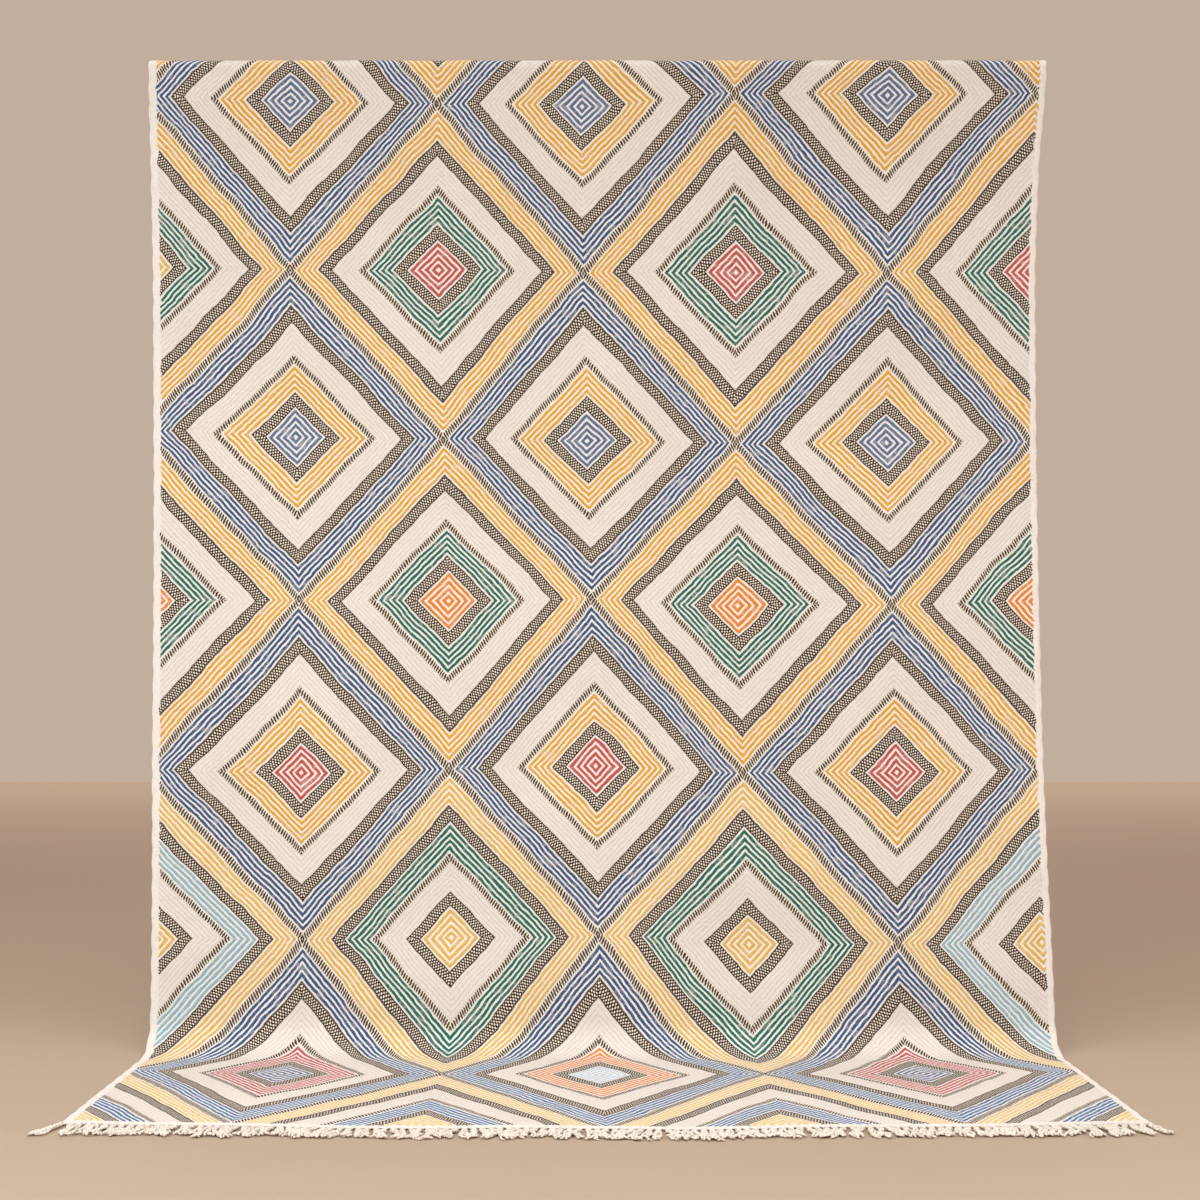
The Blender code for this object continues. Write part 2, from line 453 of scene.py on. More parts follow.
def side_view(s):
    """Forward and upward place of the cloth's middle at s, from its end, and its direction there."""
    along, up, angle = 0.0, 0.0, 0.0
    for _, length, degrees, _ in SECTIONS:
        step = min(s, length)
        turn = math.radians(degrees) * step / length
        if degrees:
            radius = length / math.radians(degrees)
            along += radius * (math.sin(angle + turn) - math.sin(angle))
            up += radius * (math.cos(angle) - math.cos(angle + turn))
        else:
            along += step * math.cos(angle)
            up += step * math.sin(angle)
        angle += turn
        s -= step
        if s <= 0:
            break
    return along, up, angle


HANGING_DEPTH = side_view(FLOOR_LENGTH + BEND_LENGTH + SWEEP_LENGTH)[0]


def end_reach(u):
    """How far the end on the floor lies in front of its corners."""
    return END_BOW * (1 - u * u) + END_WAVE * math.sin(END_WAVES * math.pi * u) * (1 - u * u)


def ripple(u, s):
    """How far the cloth stands out of the side view. It is flat on the floor and round the fold."""
    height = 0.0
    for at_u, at_s, sideways, lengthways, millimetres in RIPPLES:
        distance = math.hypot((u - at_u) * CLOTH_WIDTH / 2 / sideways, (s - at_s) / lengthways)
        height += millimetres / 1000 * soft_step(1 - distance)
    free = soft_step((s - FLOOR_LENGTH) / BEND_LENGTH)
    return height * free


def unevenness(u, s):
    """The height of the small swells. They only rise, so that the cloth doesn't sink into the floor."""
    place = Vector((u * CLOTH_WIDTH / 2, s, 0.0))
    return sum(height * (1 + noise.noise(place * pace)) for pace, height in SWELLS)


def across(u, s):
    """The sideways place of a point of the cloth."""
    left, right = between(SELVEDGES, s)
    middle, half = (right - left) / 2000, (right + left) / 2000
    scallop = SCALLOP_DEPTH * math.sin(2 * math.pi * s / SCALLOP_PITCH + u) * u**6
    return middle + half * u + math.copysign(scallop, u)


def cloth_point(u, s, side, height):
    """A point on the face (side 1) or the reverse (side -1), for a share of the cloth's thickness."""
    along, up, angle = side_view(s)
    out = ripple(u, s) + unevenness(u, s) + side * height * CLOTH_THICKNESS / 2
    forward = end_reach(u) * (1 - soft_step(s / FLOOR_LENGTH))
    y = HANGING_PLANE_Y - HANGING_DEPTH + along - forward - out * math.sin(angle)
    z = CLOTH_THICKNESS / 2 + up + out * math.cos(angle)
    return across(u, s), y, z


def cloth_rows():
    """The value of s at each row of vertices."""
    rows, start = [0.0], 0.0
    for _, length, _, count in SECTIONS:
        rows += [start + length * (i + 1) / count for i in range(count)]
        start += length
    return rows


def cloth_columns():
    """The value of u at each column of vertices, and the share of the thickness there."""
    inner = SELVEDGE[0][0]
    middle = [(-inner + 2 * inner * i / COLUMNS, 1.0) for i in range(1, COLUMNS)]
    return [(-u, height) for u, height in reversed(SELVEDGE)] + middle + list(SELVEDGE)


# ---------------------------------------------------------------- the place of a point in the pattern


def on_scale(places, at):
    """Where a value lies on an uneven scale, counted in its marks from 0."""
    index = 0
    while index < len(places) - 2 and at > places[index + 1]:
        index += 1
    low, high = places[index], places[index + 1]
    return index + (at - low) / (high - low)


def node_move(column, row):
    """How far the lattice is moved there, to the right and up, in metres, smoothly between its nodes."""
    moves = {entry[0]: entry[1:] for entry in NODE_MOVES}
    column = min(max(column, 0), LAST_COLUMN)
    row = min(max(row, FIRST_ROW), LAST_ROW)
    left = min(math.floor(column), LAST_COLUMN - 1)
    low = min(math.floor(row), LAST_ROW - 1)
    over, under = soft_step(column - left), soft_step(row - low)
    moved = Vector((0.0, 0.0))
    for i, i_share in ((left, 1 - over), (left + 1, over)):
        for k, k_share in ((low, 1 - under), (low + 1, under)):
            moved += Vector(moves[k][i]) * i_share * k_share / 1000
    return moved


def pattern_place(u, s):
    """The column and the row of the lattice at a point of the cloth, with fractions."""
    column = on_scale(COLUMN_PLACES, u * 1000)
    row = LAST_ROW - on_scale(ROW_PLACES, s * 1000)
    sideways, upwards = node_move(column, row)
    column = on_scale(COLUMN_PLACES, (u - sideways / (CLOTH_WIDTH / 2)) * 1000)
    row = LAST_ROW - on_scale(ROW_PLACES, (s - upwards) * 1000)
    return column, row


# ---------------------------------------------------------------- node maths, written as sums


class Term:
    """A number, colour or vector that varies over a surface: one output of a node in a material."""

    def __init__(self, paint, socket):
        self.paint = paint
        self.socket = socket

    def __add__(self, other):
        return self.paint.maths("ADD", self, other)

    def __sub__(self, other):
        return self.paint.maths("SUBTRACT", self, other)

    def __rsub__(self, other):
        return self.paint.maths("SUBTRACT", other, self)

    def __mul__(self, other):
        return self.paint.maths("MULTIPLY", self, other)

    def __truediv__(self, other):
        return self.paint.maths("DIVIDE", self, other)

    def __abs__(self):
        return self.paint.maths("ABSOLUTE", self)

    __radd__ = __add__
    __rmul__ = __mul__


class Paint:
    """One material and the terms that it is made of."""

    def __init__(self, name):
        self.material = bpy.data.materials.new(name)
        self.material.use_nodes = True
        self.tree = self.material.node_tree
        self.shader = self.tree.nodes["Principled BSDF"]

    def node(self, kind, inputs, **settings):
        made = self.tree.nodes.new(kind)
        for name, value in settings.items():
            setattr(made, name, value)
        for key, value in inputs.items():
            self.put(value, made.inputs[key])
        return made

    def put(self, value, socket):
        if isinstance(value, Term):
            self.tree.links.new(value.socket, socket)
        else:
            socket.default_value = value

    def maths(self, operation, *values):
        made = self.node("ShaderNodeMath", dict(enumerate(values)), operation=operation)
        return Term(self, made.outputs[0])

    def attribute(self, name):
        made = self.node("ShaderNodeAttribute", {}, attribute_name=name)
        return Term(self, made.outputs["Vector"])

    def parts(self, vector):
        made = self.node("ShaderNodeSeparateXYZ", {"Vector": vector})
        return [Term(self, output) for output in made.outputs]

    def place(self):
        """A point's place on its object, in metres."""
        return Term(self, self.node("ShaderNodeTexCoord", {}).outputs["Object"])

    def noise(self, vector, scale, detail, output=0):
        """Output 0 is a number, and output 1 three numbers; both lie about 0.5."""
        inputs = {"Vector": vector, "Scale": scale, "Detail": detail}
        return Term(self, self.node("ShaderNodeTexNoise", inputs).outputs[output])

    def mix(self, share, first, second):
        """A colour between two."""
        made = self.node("ShaderNodeMix", {0: share}, data_type="RGBA")
        for value, socket in ((first, made.inputs[6]), (second, made.inputs[7])):
            self.put(value if isinstance(value, Term) else (*value, 1.0), socket)
        return Term(self, made.outputs[2])

    def rise(self, term, start, end):
        """0 up to start, 1 from end on, and soft between."""
        inputs = {"Value": term, "From Min": start, "From Max": end}
        made = self.node("ShaderNodeMapRange", inputs, interpolation_type="SMOOTHSTEP")
        return Term(self, made.outputs[0])

    def below(self, term, limit, soft):
        """1 under a limit and 0 over it."""
        return 1.0 - self.rise(term, limit - soft / 2, limit + soft / 2)

    def band(self, term, limits, soft):
        """1 between two limits and 0 outside them."""
        low, high = limits
        return self.rise(term, low - soft / 2, low + soft / 2) * self.below(term, high, soft)

    def either_band(self, term, bands, soft):
        """1 in one of two bands and 0 outside both."""
        return self.maths("MAXIMUM", *[self.band(term, limits, soft) for limits in bands])

    def wave(self, term, first, pitch):
        """1 at first and at each pitch from there, and -1 halfway between."""
        return self.maths("COSINE", (term - first) * (2 * math.pi / pitch))

    def by_row(self, row, yarns):
        """The colour of a diamond's row, from -1 on, out of a list of yarns."""
        made = self.node("ShaderNodeValToRGB", {"Fac": (row + (0.5 - FIRST_ROW)) / len(yarns)})
        ramp = made.color_ramp
        ramp.interpolation = "CONSTANT"
        for index, yarn in enumerate(yarns):
            if index > 1:
                ramp.elements.new(index / len(yarns))
            ramp.elements[index].position = index / len(yarns)
            ramp.elements[index].color = (*dyed(yarn), 1.0)
        return Term(self, made.outputs[0])

    def bump(self, height, depth, strength):
        """Lets a height stand out of the surface, in parts of a depth."""
        made = self.node("ShaderNodeBump", {"Height": height, "Distance": depth, "Strength": strength})
        self.put(Term(self, made.outputs[0]), self.shader.inputs["Normal"])

    def surface(self, values):
        """Sets what is the same all over on the shader itself."""
        for name, value in values.items():
            self.shader.inputs[name].default_value = value


# ---------------------------------------------------------------- the woven wool


class Wool(Paint):
    """The material of the cloth: plain cream wool in low ridges, with painted shade in the hollows between
    them, and what each step lays over it.
    """

    def __init__(self):
        super().__init__("kilim_weave")
        self.cloth = self.attribute("cloth")
        self.x, self.s, self.side = self.parts(self.cloth)
        self.fibres = self.noise(self.cloth, FIBRE_SCALE, WOOL_DETAIL)
        self.yarn = self.noise(self.cloth, YARN_SCALE, WOOL_DETAIL)
        self.dye = self.noise(self.cloth, DYE_SCALE, WOOL_DETAIL)
        self.find_diamond()
        ridges = self.wave(self.distance, *RIDGE_PITCH)
        # The hollows between the ridges are painted a darker cream: painted shade.
        self.colour = self.mix(self.rise(ridges, *RIDGE_SHADE_EDGE), dyed("ridge_shade"), dyed("cream"))
        self.height = ridges * RIDGE_HEIGHT

    def find_diamond(self):
        """Finds a point's diamond and its place there, with the wobble of hand-woven lines.

        Its distance is the share of the way from the diamond's middle to its edge. One more measure runs
        along the bands, and one leans across them.
        """
        slow = self.parts(self.noise(self.cloth, SLOW_SCALE, WOBBLE_DETAIL, output=1))
        quick = self.parts(self.noise(self.cloth, QUICK_SCALE, WOBBLE_DETAIL, output=1))
        column, row, _ = self.parts(self.attribute("pattern"))
        column = column + (slow[0] - 0.5) * SLOW_WOBBLE + (quick[0] - 0.5) * QUICK_WOBBLE
        row = row + (slow[1] - 0.5) * SLOW_WOBBLE + (quick[1] - 0.5) * QUICK_WOBBLE
        falling, rising = column + row, column - row
        falling_cell = self.maths("FLOOR", falling * 0.5)
        rising_cell = self.maths("FLOOR", rising * 0.5)
        self.column = falling_cell + rising_cell + 1.0
        self.row = falling_cell - rising_cell

        from_falling = falling - falling_cell * 2.0 - 1.0
        from_rising = rising - rising_cell * 2.0 - 1.0
        distance = self.maths("MAXIMUM", abs(from_falling), abs(from_rising))
        to_side_point = abs(from_falling + from_rising) / (distance * 2.0 + ALMOST_NOTHING)
        to_tall_point = 1.0 - to_side_point * 2.0
        pull = self.maths("MAXIMUM", to_tall_point, 0.0) * TALL_POINT_PULL
        pull = pull + self.maths("MINIMUM", to_tall_point, 0.0) * SIDE_POINT_PUSH
        self.distance = distance + pull * self.maths("SINE", distance * math.pi)

        on_falling = self.maths("GREATER_THAN", abs(from_falling), abs(from_rising))
        beside = falling * on_falling + rising * (1.0 - on_falling)
        self.along = rising * on_falling + falling * (1.0 - on_falling)
        self.leaning = self.along + beside * LEAN

    def lay(self, inside, colour, height):
        """Covers the colour and the height that are there, where inside is 1."""
        self.colour = self.mix(inside, self.colour, colour)
        self.height = self.height + inside * (height - self.height)

    def one_cell(self, first, last, at_row):
        """1 in the diamonds of one row between two columns."""
        in_row = self.maths("COMPARE", self.row, at_row, 0.5)
        middle = (first + last) / 2
        return in_row * self.maths("COMPARE", self.column, middle, (last - first) / 2 + 0.5)

    def rib_colours(self):
        """The colours of a diamond's outer, middle and centre ribs."""
        # On the floor the outer ribs take lighter yarns: painted light, fading out along s.
        above = self.rise(self.s, *FLOOR_LIGHT_ENDS)
        outer = [self.by_row(self.row, yarns) for yarns in (FLOOR_LIT_OUTER_RIBS, OUTER_RIBS)]
        colours = {
            "outer": self.mix(above, *outer),
            "middle": self.by_row(self.row, MIDDLE_RIBS),
            "centre": self.by_row(self.row, CENTRE_RIBS),
        }
        for first, last, at_row, ribs, yarn in ODD_ONES:
            here = self.one_cell(first, last, at_row)
            colours[ribs] = self.mix(here, colours[ribs], dyed(yarn))
        return colours

    def rib_bands(self):
        """For each group of ribs, where its band is, and a wave that is 1 along the middle of each rib."""
        swapped = self.maths("COMPARE", self.row, SWAPPED_ROW, 0.5)
        lower, upper = [self.band(self.distance, band, BAND_SOFT) for band in (MIDDLE_BAND, PLAIN_BAND)]
        usual, other = [self.wave(self.distance, *pitch) for pitch in (MIDDLE_PITCH, SWAPPED_PITCH)]
        in_centre = self.below(self.distance, CENTRE_EDGE, BAND_SOFT)
        in_outer = self.band(self.distance, OUTER_BAND, BAND_SOFT)
        return {
            "outer": (in_outer, self.wave(self.distance, *OUTER_PITCH)),
            "middle": (lower + (upper - lower) * swapped, usual + (other - usual) * swapped),
            "centre": (in_centre, self.wave(self.distance, *CENTRE_PITCH)),
        }

    def lay_ribs(self):
        """Coloured ribs, worn here and there, with white yarns between them."""
        fibres, yarn = self.fibres - 0.5, self.yarn - 0.5
        stitches = self.wave(self.leaning, 0.0, STITCH_PITCH)
        worn = self.rise(self.yarn + fibres * WORN_FIBRES, *WORN_FROM)
        colours = self.rib_colours()
        for name, (inside, wave) in self.rib_bands().items():
            ragged = wave + stitches * RIB_STITCHES + yarn * RIB_YARN + fibres * RIB_FIBRES
            rib = self.mix(worn, colours[name], self.mix(WORN_SHARE, colours[name], dyed("cream")))
            gap = self.mix(GAP_TINT, dyed("white"), colours[name])
            self.lay(inside, self.mix(self.rise(ragged, *RIB_EDGE), gap, rib), wave * RIB_HEIGHT)

    def lay_dark_bands(self):
        """Dots and dashes on black yarn that has faded here and there."""
        fibres = self.fibres - 0.5
        black = self.mix(self.rise(self.fibres, *FADED_FROM), dyed("black"), dyed("faded_black"))

        from_band = self.distance - DOTTED_BANDS[1][0] - DOTS_EDGE
        dots = self.wave(self.along, 0.0, DOTS_ALONG) * self.wave(from_band, 0.0, DOT_ROWS * 2)
        between_lines = [(low + DOTS_EDGE, high - DOTS_EDGE) for low, high in DOTTED_BANDS]
        on_dot = self.rise(dots + fibres * DOT_FIBRES, *DOT_EDGE)
        on_dot = on_dot * self.either_band(self.distance, between_lines, BAND_SOFT)
        inside = self.either_band(self.distance, DOTTED_BANDS, DARK_BAND_SOFT)
        self.lay(inside, self.mix(on_dot, black, dyed("dot")), dots * DARK_HEIGHT)

        dashes = self.wave(self.leaning, 0.0, DASH_PITCH)
        core = self.either_band(self.distance, HATCH_CORES, BAND_SOFT)
        on_dash = self.rise(dashes + fibres * DASH_FIBRES, *DASH_EDGE) * (1.0 - core * CORE_DARK)
        inside = self.either_band(self.distance, HATCHED_BANDS, DARK_BAND_SOFT)
        self.lay(inside, self.mix(on_dash, black, dyed("dot")), dashes * DARK_HEIGHT)

    def lay_strips(self):
        """The plain strips along the selvedges and at the end on the floor."""
        ragged = (self.fibres - 0.5) * RAGGED_FIBRES + (self.yarn - 0.5) * RAGGED_YARN
        from_selvedge = CLOTH_WIDTH / 2 - abs(self.x) + self.x * (SELVEDGE_DIFFERENCE / CLOTH_WIDTH) + ragged
        in_selvedge = self.below(from_selvedge, SELVEDGE_STRIP, STRIP_SOFT)
        at_end = self.below(self.s + ragged, END_STRIP, STRIP_SOFT)
        self.colour = self.mix(in_selvedge, self.colour, dyed("selvedge"))
        self.colour = self.mix(at_end, self.colour, dyed("cream"))
        self.height = self.height * (1.0 - self.maths("MAXIMUM", in_selvedge, at_end))

    def lay_flecks(self):
        """On the reverse the yarns are carried across, so the pattern is paler and less crisp."""
        reverse = self.below(self.side, 0.0, 1.0)
        flecks = reverse * self.rise(self.fibres, *FLECKS_FROM) * FLECKS_SHARE
        self.colour = self.mix(flecks, self.colour, dyed("cream"))

    def finish(self):
        """The unevenness of the wool and the grain of the weave."""
        fibres = self.fibres - 0.5
        grain = self.wave(self.s, 0.0, WEFT_PITCH) * self.wave(self.x, 0.0, WARP_PITCH)
        shade = SHADE + (self.dye - 0.5) * DYE_SHADE + fibres * FIBRE_SHADE + grain * GRAIN_SHADE
        shaded = self.node("ShaderNodeVectorMath", {0: self.colour, "Scale": shade}, operation="SCALE")
        self.put(Term(self, shaded.outputs[0]), self.shader.inputs["Base Color"])
        self.put(WOOL_ROUGHNESS + fibres * ROUGHNESS_FIBRES, self.shader.inputs["Roughness"])
        self.bump(self.height + fibres * FIBRE_HEIGHT + grain * GRAIN_HEIGHT, BUMP_DEPTH, BUMP_STRENGTH)
        self.surface(WOOL_SURFACE)


def weave_material():
    wool = Wool()
    wool.lay_ribs()
    wool.lay_dark_bands()
    wool.lay_strips()
    wool.lay_flecks()
    wool.finish()
    return wool.material


def make_weave(material):
    """The cloth: a face and a reverse with a rounded rim between them, in one closed mesh."""
    rows, columns = cloth_rows(), cloth_columns()
    bm = bmesh.new()
    pattern = bm.verts.layers.float_vector.new("pattern")
    cloth = bm.verts.layers.float_vector.new("cloth")
    grids = {}
    for side in (1, -1):
        grid = []
        for s in rows:
            end_share = END_HEIGHT if s in (rows[0], rows[-1]) else 1.0
            line = []
            for u, height in columns:
                vertex = bm.verts.new(cloth_point(u, s, side, height * end_share))
                vertex[pattern] = (*pattern_place(u, s), 0.0)
                vertex[cloth] = (u * CLOTH_WIDTH / 2, s, side)
                line.append(vertex)
            grid.append(line)
        grids[side] = grid
    for side, grid in grids.items():
        for low, high in zip(grid, grid[1:]):
            for i in range(len(columns) - 1):
                corners = (low[i], low[i + 1], high[i + 1], high[i])
                bm.faces.new(corners if side > 0 else corners[::-1])
    rims = [
        (grids[1][0][::-1], grids[-1][0][::-1]),
        (grids[1][-1], grids[-1][-1]),
        ([line[0] for line in grids[1]], [line[0] for line in grids[-1]]),
        ([line[-1] for line in grids[1]][::-1], [line[-1] for line in grids[-1]][::-1]),
    ]
    for face_side, reverse_side in rims:
        for i in range(len(face_side) - 1):
            bm.faces.new((face_side[i], face_side[i + 1], reverse_side[i + 1], reverse_side[i]))
    return finished_object("kilim_weave", bm, material)


def finished_object(name, bm, material):
    bmesh.ops.recalc_face_normals(bm, faces=bm.faces)
    mesh = bpy.data.meshes.new(name)
    bm.to_mesh(mesh)
    bm.free()
    mesh.materials.append(material)
    mesh.shade_smooth()
    obj = bpy.data.objects.new(name, mesh)
    bpy.context.scene.collection.objects.link(obj)
    return obj


def unwrap_weave(obj):
    """A map on which the face takes the lower part and the reverse the rest, for the export's pictures."""
    mesh = obj.data
    uv = mesh.uv_layers.new(name="OFBake")
    cloth = mesh.attributes["cloth"].data
    for polygon in mesh.polygons:
        sides = [cloth[index].vector[2] for index in polygon.vertices]
        on_face = sum(sides) >= 0
        for loop, vertex in zip(polygon.loop_indices, polygon.vertices):
            x, s, _ = cloth[vertex].vector
            over = x / CLOTH_WIDTH + 0.5
            v = over * FACE_SHARE if on_face else FACE_SHARE + over * (1 - FACE_SHARE)
            uv.data[loop].uv = (s / CLOTH_LENGTH, v)


# ---------------------------------------------------------------- the fringes


def fringe_material():
    """Cotton twisted of plies, with grooves between them that are painted darker as shade."""
    paint = Paint("fringe_cotton")
    along, around, tassel = paint.parts(paint.attribute("strand"))
    fibres = paint.noise(paint.place(), COTTON_SCALE, COTTON_DETAIL)
    ply = paint.maths("COSINE", (along * (1 / TWIST_PITCH) * PLIES + around) * (2 * math.pi))
    tone = paint.mix(tassel, linear(COTTON["pale"]), linear(COTTON["deep"]))
    tone = paint.mix(paint.rise(fibres, *COTTON_FROM), tone, linear(COTTON["fibre"]))
    # Darker colour in the grooves between the plies: painted shade.
    tone = paint.mix(paint.rise(ply, *GROOVE_SHADE_EDGE), linear(COTTON["groove_shade"]), tone)
    paint.put(tone, paint.shader.inputs["Base Color"])
    paint.put(COTTON_ROUGHNESS + (fibres - 0.5) * ROUGHNESS_FIBRES, paint.shader.inputs["Roughness"])
    paint.bump(ply * PLY_HEIGHT + fibres, COTTON_BUMP_DEPTH, COTTON_BUMP_STRENGTH)
    paint.surface(COTTON_SURFACE)
    return paint.material


class Strands:
    """Gathers tubes and knots in one mesh. Their points are given as sideways, away and height."""

    def __init__(self, name, placed):
        self.name = name
        self.placed = placed
        self.bm = bmesh.new()
        self.strand = self.bm.verts.layers.float_vector.new("strand")

    def ring(self, centre, direction, radii, turn, sides, along, tone):
        """One ring of vertices round a point. radii are sideways and upwards."""
        forward = direction.normalized()
        beside = forward.cross(Vector((0, 0, 1))).normalized()
        above = beside.cross(forward)
        made = []
        for i in range(sides):
            angle = 2 * math.pi * i / sides
            lobe = 1 + LOBE * math.cos(2 * (angle - turn))
            offset = beside * radii[0] * math.cos(angle) * lobe + above * radii[1] * math.sin(angle) * lobe
            point = centre + offset
            point.z = max(point.z, LOWEST)
            vertex = self.bm.verts.new(self.placed(point))
            vertex[self.strand] = (along, i / sides, tone)
            made.append(vertex)
        return made

    def tube(self, points, radii, sides, tone):
        """A closed tube along points, with a radius pair for each of them."""
        rings, along = [], 0.0
        for index, (point, radius) in enumerate(zip(points, radii)):
            before, after = points[max(index - 1, 0)], points[min(index + 1, len(points) - 1)]
            if index:
                along += (point - points[index - 1]).length
            turn = 2 * math.pi * along / TWIST_PITCH
            rings.append(self.ring(point, after - before, radius, turn, sides, along, tone))
        for low, high in zip(rings, rings[1:]):
            for i in range(sides):
                beyond = (i + 1) % sides
                self.bm.faces.new((low[i], low[beyond], high[beyond], high[i]))
        self.bm.faces.new(rings[0][::-1])
        self.bm.faces.new(rings[-1])

    def finish(self, material):
        return finished_object(self.name, self.bm, material)


def tooth(index, splay, rng):
    """One tassel of the CAD comb: u at its middle, how far its tip leans sideways, and its length."""
    u = -1 + (2 * index + 1) / TASSELS
    from_corner = min(index, TASSELS - 1 - index)
    outwards = splay * max(0.0, 1 - from_corner / CORNER_TASSELS) ** 2
    wave = math.sin(2 * math.pi * index / TASSELS_PER_WAVE)
    lean = TASSEL_LEAN * wave + math.copysign(outwards, u)
    length = TASSEL_LENGTH + CORNER_LENGTH * u**4 + rng.uniform(-TASSEL_SCATTER, TASSEL_SCATTER)
    return u, lean, length


def add_roots(strands, x, start, knot, rng, tone):
    """The warps between the end of the cloth and the knot, drawn together."""
    for i in range(ROOT_STRANDS):
        offset = ROOT_SPREAD * (2 * i / (ROOT_STRANDS - 1) - 1)
        bow = rng.uniform(-ROOT_BOW, ROOT_BOW)
        points = [
            Vector((x + offset * spread + bow * bowed, start + away, height))
            for away, height, spread, bowed in ROOT_POINTS
        ]
        points.append(Vector((knot.x + offset * ROOT_SPREAD_IN_KNOT, knot.y, knot.z)))
        radii = [(ROOT_RADIUS, ROOT_RADIUS * ROOT_FLATNESS)] * len(points)
        strands.tube(points, radii, STRAND_SIDES, tone)


def add_knot(strands, knot, rng, tone):
    """A turn of yarn pulled tight: a lump with a waist across it."""
    wide, long, high = [size * rng.uniform(*KNOT_VARIES) for size in KNOT_SIZE]
    tilt = rng.uniform(-KNOT_TILT, KNOT_TILT)
    arc_start, arc_length = BULGE_ARC
    points, radii = [], []
    for ring in range(KNOT_RINGS):
        share = ring / (KNOT_RINGS - 1)
        arc = math.sin(math.pi * (arc_start + arc_length * share))
        bulge = max(arc, BULGE_LEAST) ** BULGE_POWER
        waist = 1 - WAIST_DEPTH * math.exp(-(((share - 0.5) / WAIST_LENGTH) ** 2))
        reach = (share - 0.5) * 2 * long
        points.append(knot + Vector((reach * tilt, reach, 0.0)))
        radii.append((wide * bulge * waist, high * bulge * waist))
    strands.tube(points, radii, KNOT_SIDES, tone)


def add_skirt(strands, knot, lean, tip, rng, tone):
    """The strands below the knot, which wind and curl loosely and lie in a heap."""
    swing = rng.uniform(-SKIRT_SWING, SKIRT_SWING)
    lean += rng.uniform(-SKIRT_LEAN, SKIRT_LEAN)
    phase = rng.uniform(0, 2 * math.pi)
    turns = rng.uniform(*SKIRT_TURNS)
    for i in range(SKIRT_STRANDS):
        own = phase + 2 * math.pi * i / SKIRT_STRANDS
        stray = rng.uniform(-1, 1) * SKIRT_SPREAD
        curl, curl_phase = rng.uniform(*CURL_SHARE) * SKIRT_CURL, rng.uniform(0, 2 * math.pi)
        radius = rng.uniform(*SKIRT_RADIUS)
        reach = (tip - knot.y) * rng.uniform(*SKIRT_REACH)
        points, radii = [], []
        for step in range(STRAND_STEPS):
            share = step / (STRAND_STEPS - 1)
            angle = own + 2 * math.pi * turns * share
            closing = 1 - SKIRT_CLOSING * share
            sideways = lean * share**LEAN_POWER + swing * math.sin(math.pi * share)
            sideways += stray * share**SPREAD_POWER
            sideways += SKIRT_CIRCLE * closing * math.cos(angle)
            sideways += curl * share * math.sin(CURL_PACE * share + curl_phase)
            settled = radius + SKIRT_CIRCLE * SKIRT_FLATNESS * closing * (1 + math.sin(angle))
            height = knot.z + (settled - knot.z) * soft_step(share * SETTLE_PACE)
            points.append(Vector((knot.x + sideways, knot.y + reach * share, height)))
            taper = 1 - STRAND_TAPER * share - TIP_TAPER * max(0.0, (share - TIP_FROM) / (1 - TIP_FROM))
            radii.append((radius * taper, radius * taper * STRAND_FLATNESS))
        strands.tube(points, radii, STRAND_SIDES, tone)


def make_fringe(name, s, reach, splay, placed, material):
    """One tassel for each tooth of the CAD comb, with roots, a knot and a skirt of strands."""
    strands = Strands(name, placed)
    cad_rng, rng = random.Random(FRINGE_SEED), random.Random(LOOK_SEED)
    for index in range(TASSELS):
        u, lean, length = tooth(index, splay, cad_rng)
        x, start = across(u, s), reach(u)
        away = start + KNOT_PLACE + rng.uniform(*KNOT_AWAY)
        sideways = lean * KNOT_LEAN + rng.uniform(-KNOT_SIDEWAYS, KNOT_SIDEWAYS)
        knot = Vector((x + sideways, away, KNOT_SIZE[2]))
        tone = rng.random()
        add_roots(strands, x, start, knot, rng, tone)
        add_knot(strands, knot, rng, tone)
        add_skirt(strands, knot, lean, start + length, rng, tone)
    return strands.finish(material)


def on_floor(point):
    """Where a point of the front fringe lies: in front of the cloth's end."""
    return Vector((point.x, HANGING_PLANE_Y - HANGING_DEPTH - point.y, point.z))


def down_the_back(point):
    """Where a point of the back fringe lies: under the end of the flap behind the fold."""
    end = CLOTH_THICKNESS / 2 + side_view(CLOTH_LENGTH)[1]
    return Vector((point.x, HANGING_PLANE_Y + 2 * FOLD_RADIUS - BACK_INSET + point.z, end - point.y))


# ---------------------------------------------------------------- the stage


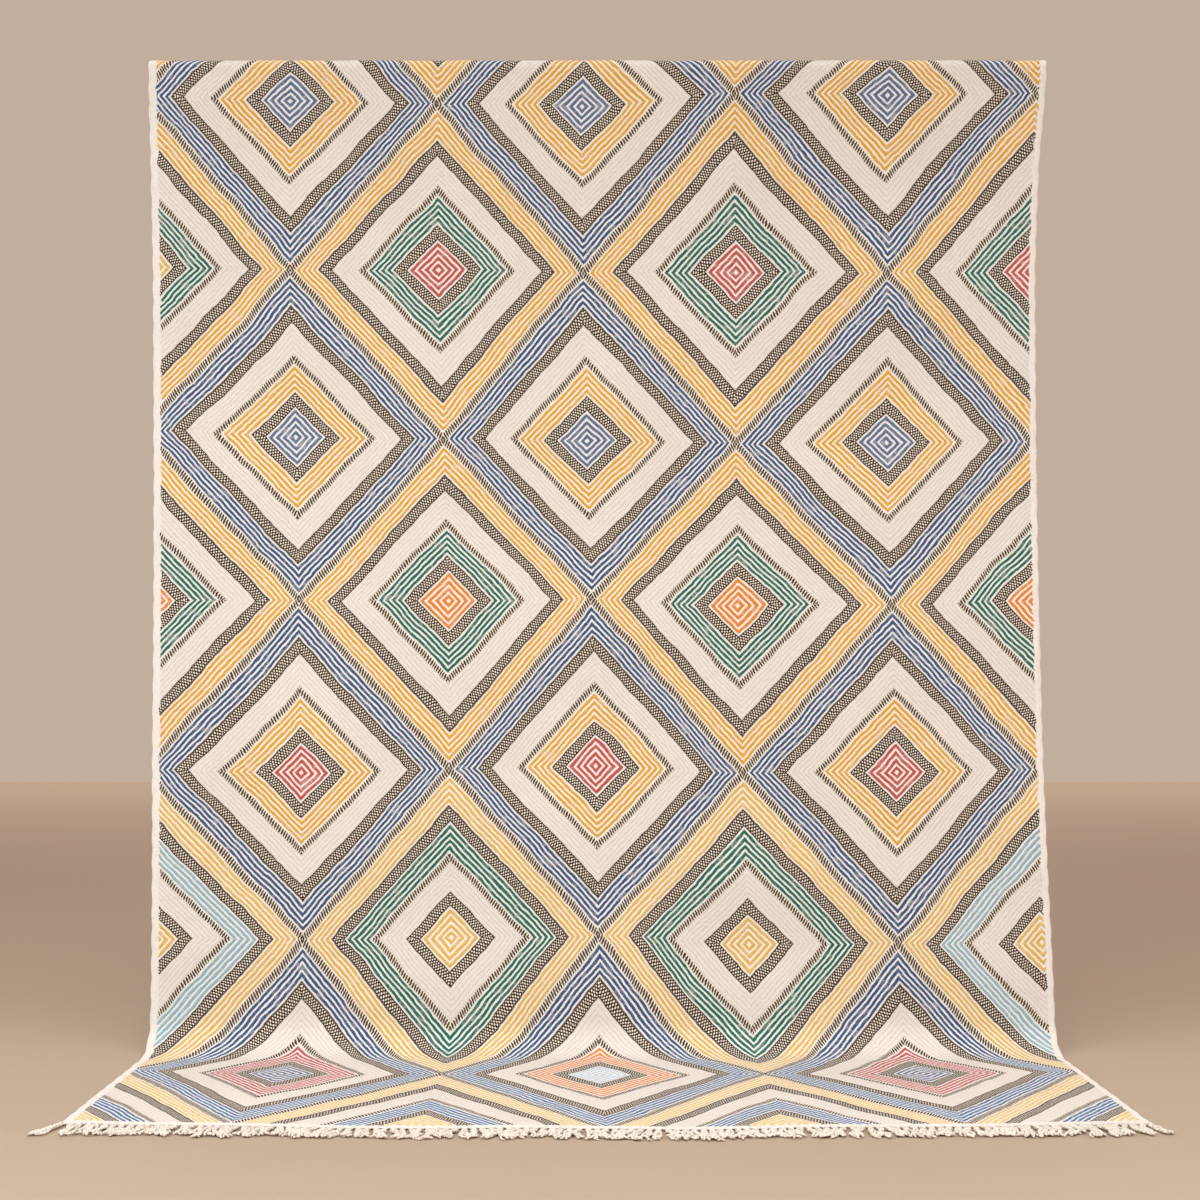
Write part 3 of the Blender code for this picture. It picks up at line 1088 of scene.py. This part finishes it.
def make_camera():
    data = bpy.data.cameras.new("camera")
    data.lens = CAMERA_LENS
    data.sensor_width = CAMERA_SENSOR
    data.shift_y = CAMERA_SHIFT_UP
    camera = bpy.data.objects.new("camera", data)
    camera.location = CAMERA_PLACE
    camera.rotation_euler = (math.radians(90), 0.0, 0.0)
    bpy.context.scene.collection.objects.link(camera)
    bpy.context.scene.camera = camera


def make_lights():
    for name, place, target, (width, height), watts, colour in LIGHTS:
        data = bpy.data.lights.new(name, "AREA")
        data.shape = "RECTANGLE"
        data.size = width
        data.size_y = height
        data.energy = watts
        data.color = colour
        light = bpy.data.objects.new(name, data)
        light.location = place
        light.rotation_euler = (Vector(target) - Vector(place)).to_track_quat("-Z", "Y").to_euler()
        light.visible_camera = False
        bpy.context.scene.collection.objects.link(light)


def make_world():
    world = bpy.data.worlds.new("room")
    world.use_nodes = True
    background = world.node_tree.nodes["Background"]
    background.inputs["Color"].default_value = (*linear(ROOM_COLOUR), 1.0)
    background.inputs["Strength"].default_value = 1.0
    bpy.context.scene.world = world


def floor_material():
    paint = Paint("floor")
    clouds = paint.noise(paint.place(), FLOOR_CLOUDS, FLOOR_DETAIL)
    darkest = [value * FLOOR_DARKEST for value in linear(FLOOR_COLOUR)]
    paint.put(paint.mix(clouds, darkest, linear(FLOOR_COLOUR)), paint.shader.inputs["Base Color"])
    paint.put(FLOOR_ROUGHNESS + clouds * FLOOR_ROUGHER, paint.shader.inputs["Roughness"])
    paint.surface(FLOOR_SURFACE)
    return paint.material


def make_floor():
    bm = bmesh.new()
    bmesh.ops.create_grid(bm, x_segments=FLOOR_FACES, y_segments=FLOOR_FACES, size=FLOOR_SIZE / 2)
    floor = finished_object("floor", bm, floor_material())
    return floor


def main():
    bpy.context.scene.view_settings.view_transform = "Standard"
    make_camera()
    make_lights()
    make_world()
    floor = make_floor()

    weave = make_weave(weave_material())
    unwrap_weave(weave)
    cotton = fringe_material()
    front = make_fringe("front_tassels", 0.0, end_reach, CORNER_SPLAY, on_floor, cotton)
    back = make_fringe("back_tassels", CLOTH_LENGTH, lambda u: 0.0, 0.0, down_the_back, cotton)

    for piece, node, slot in (
        (weave, "kilim_cloth", "woven_wool"),
        (front, "front_fringe", "fringe_cotton"),
        (back, "back_fringe", "fringe_cotton"),
    ):
        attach(piece, "root")
        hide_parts(node)


main()
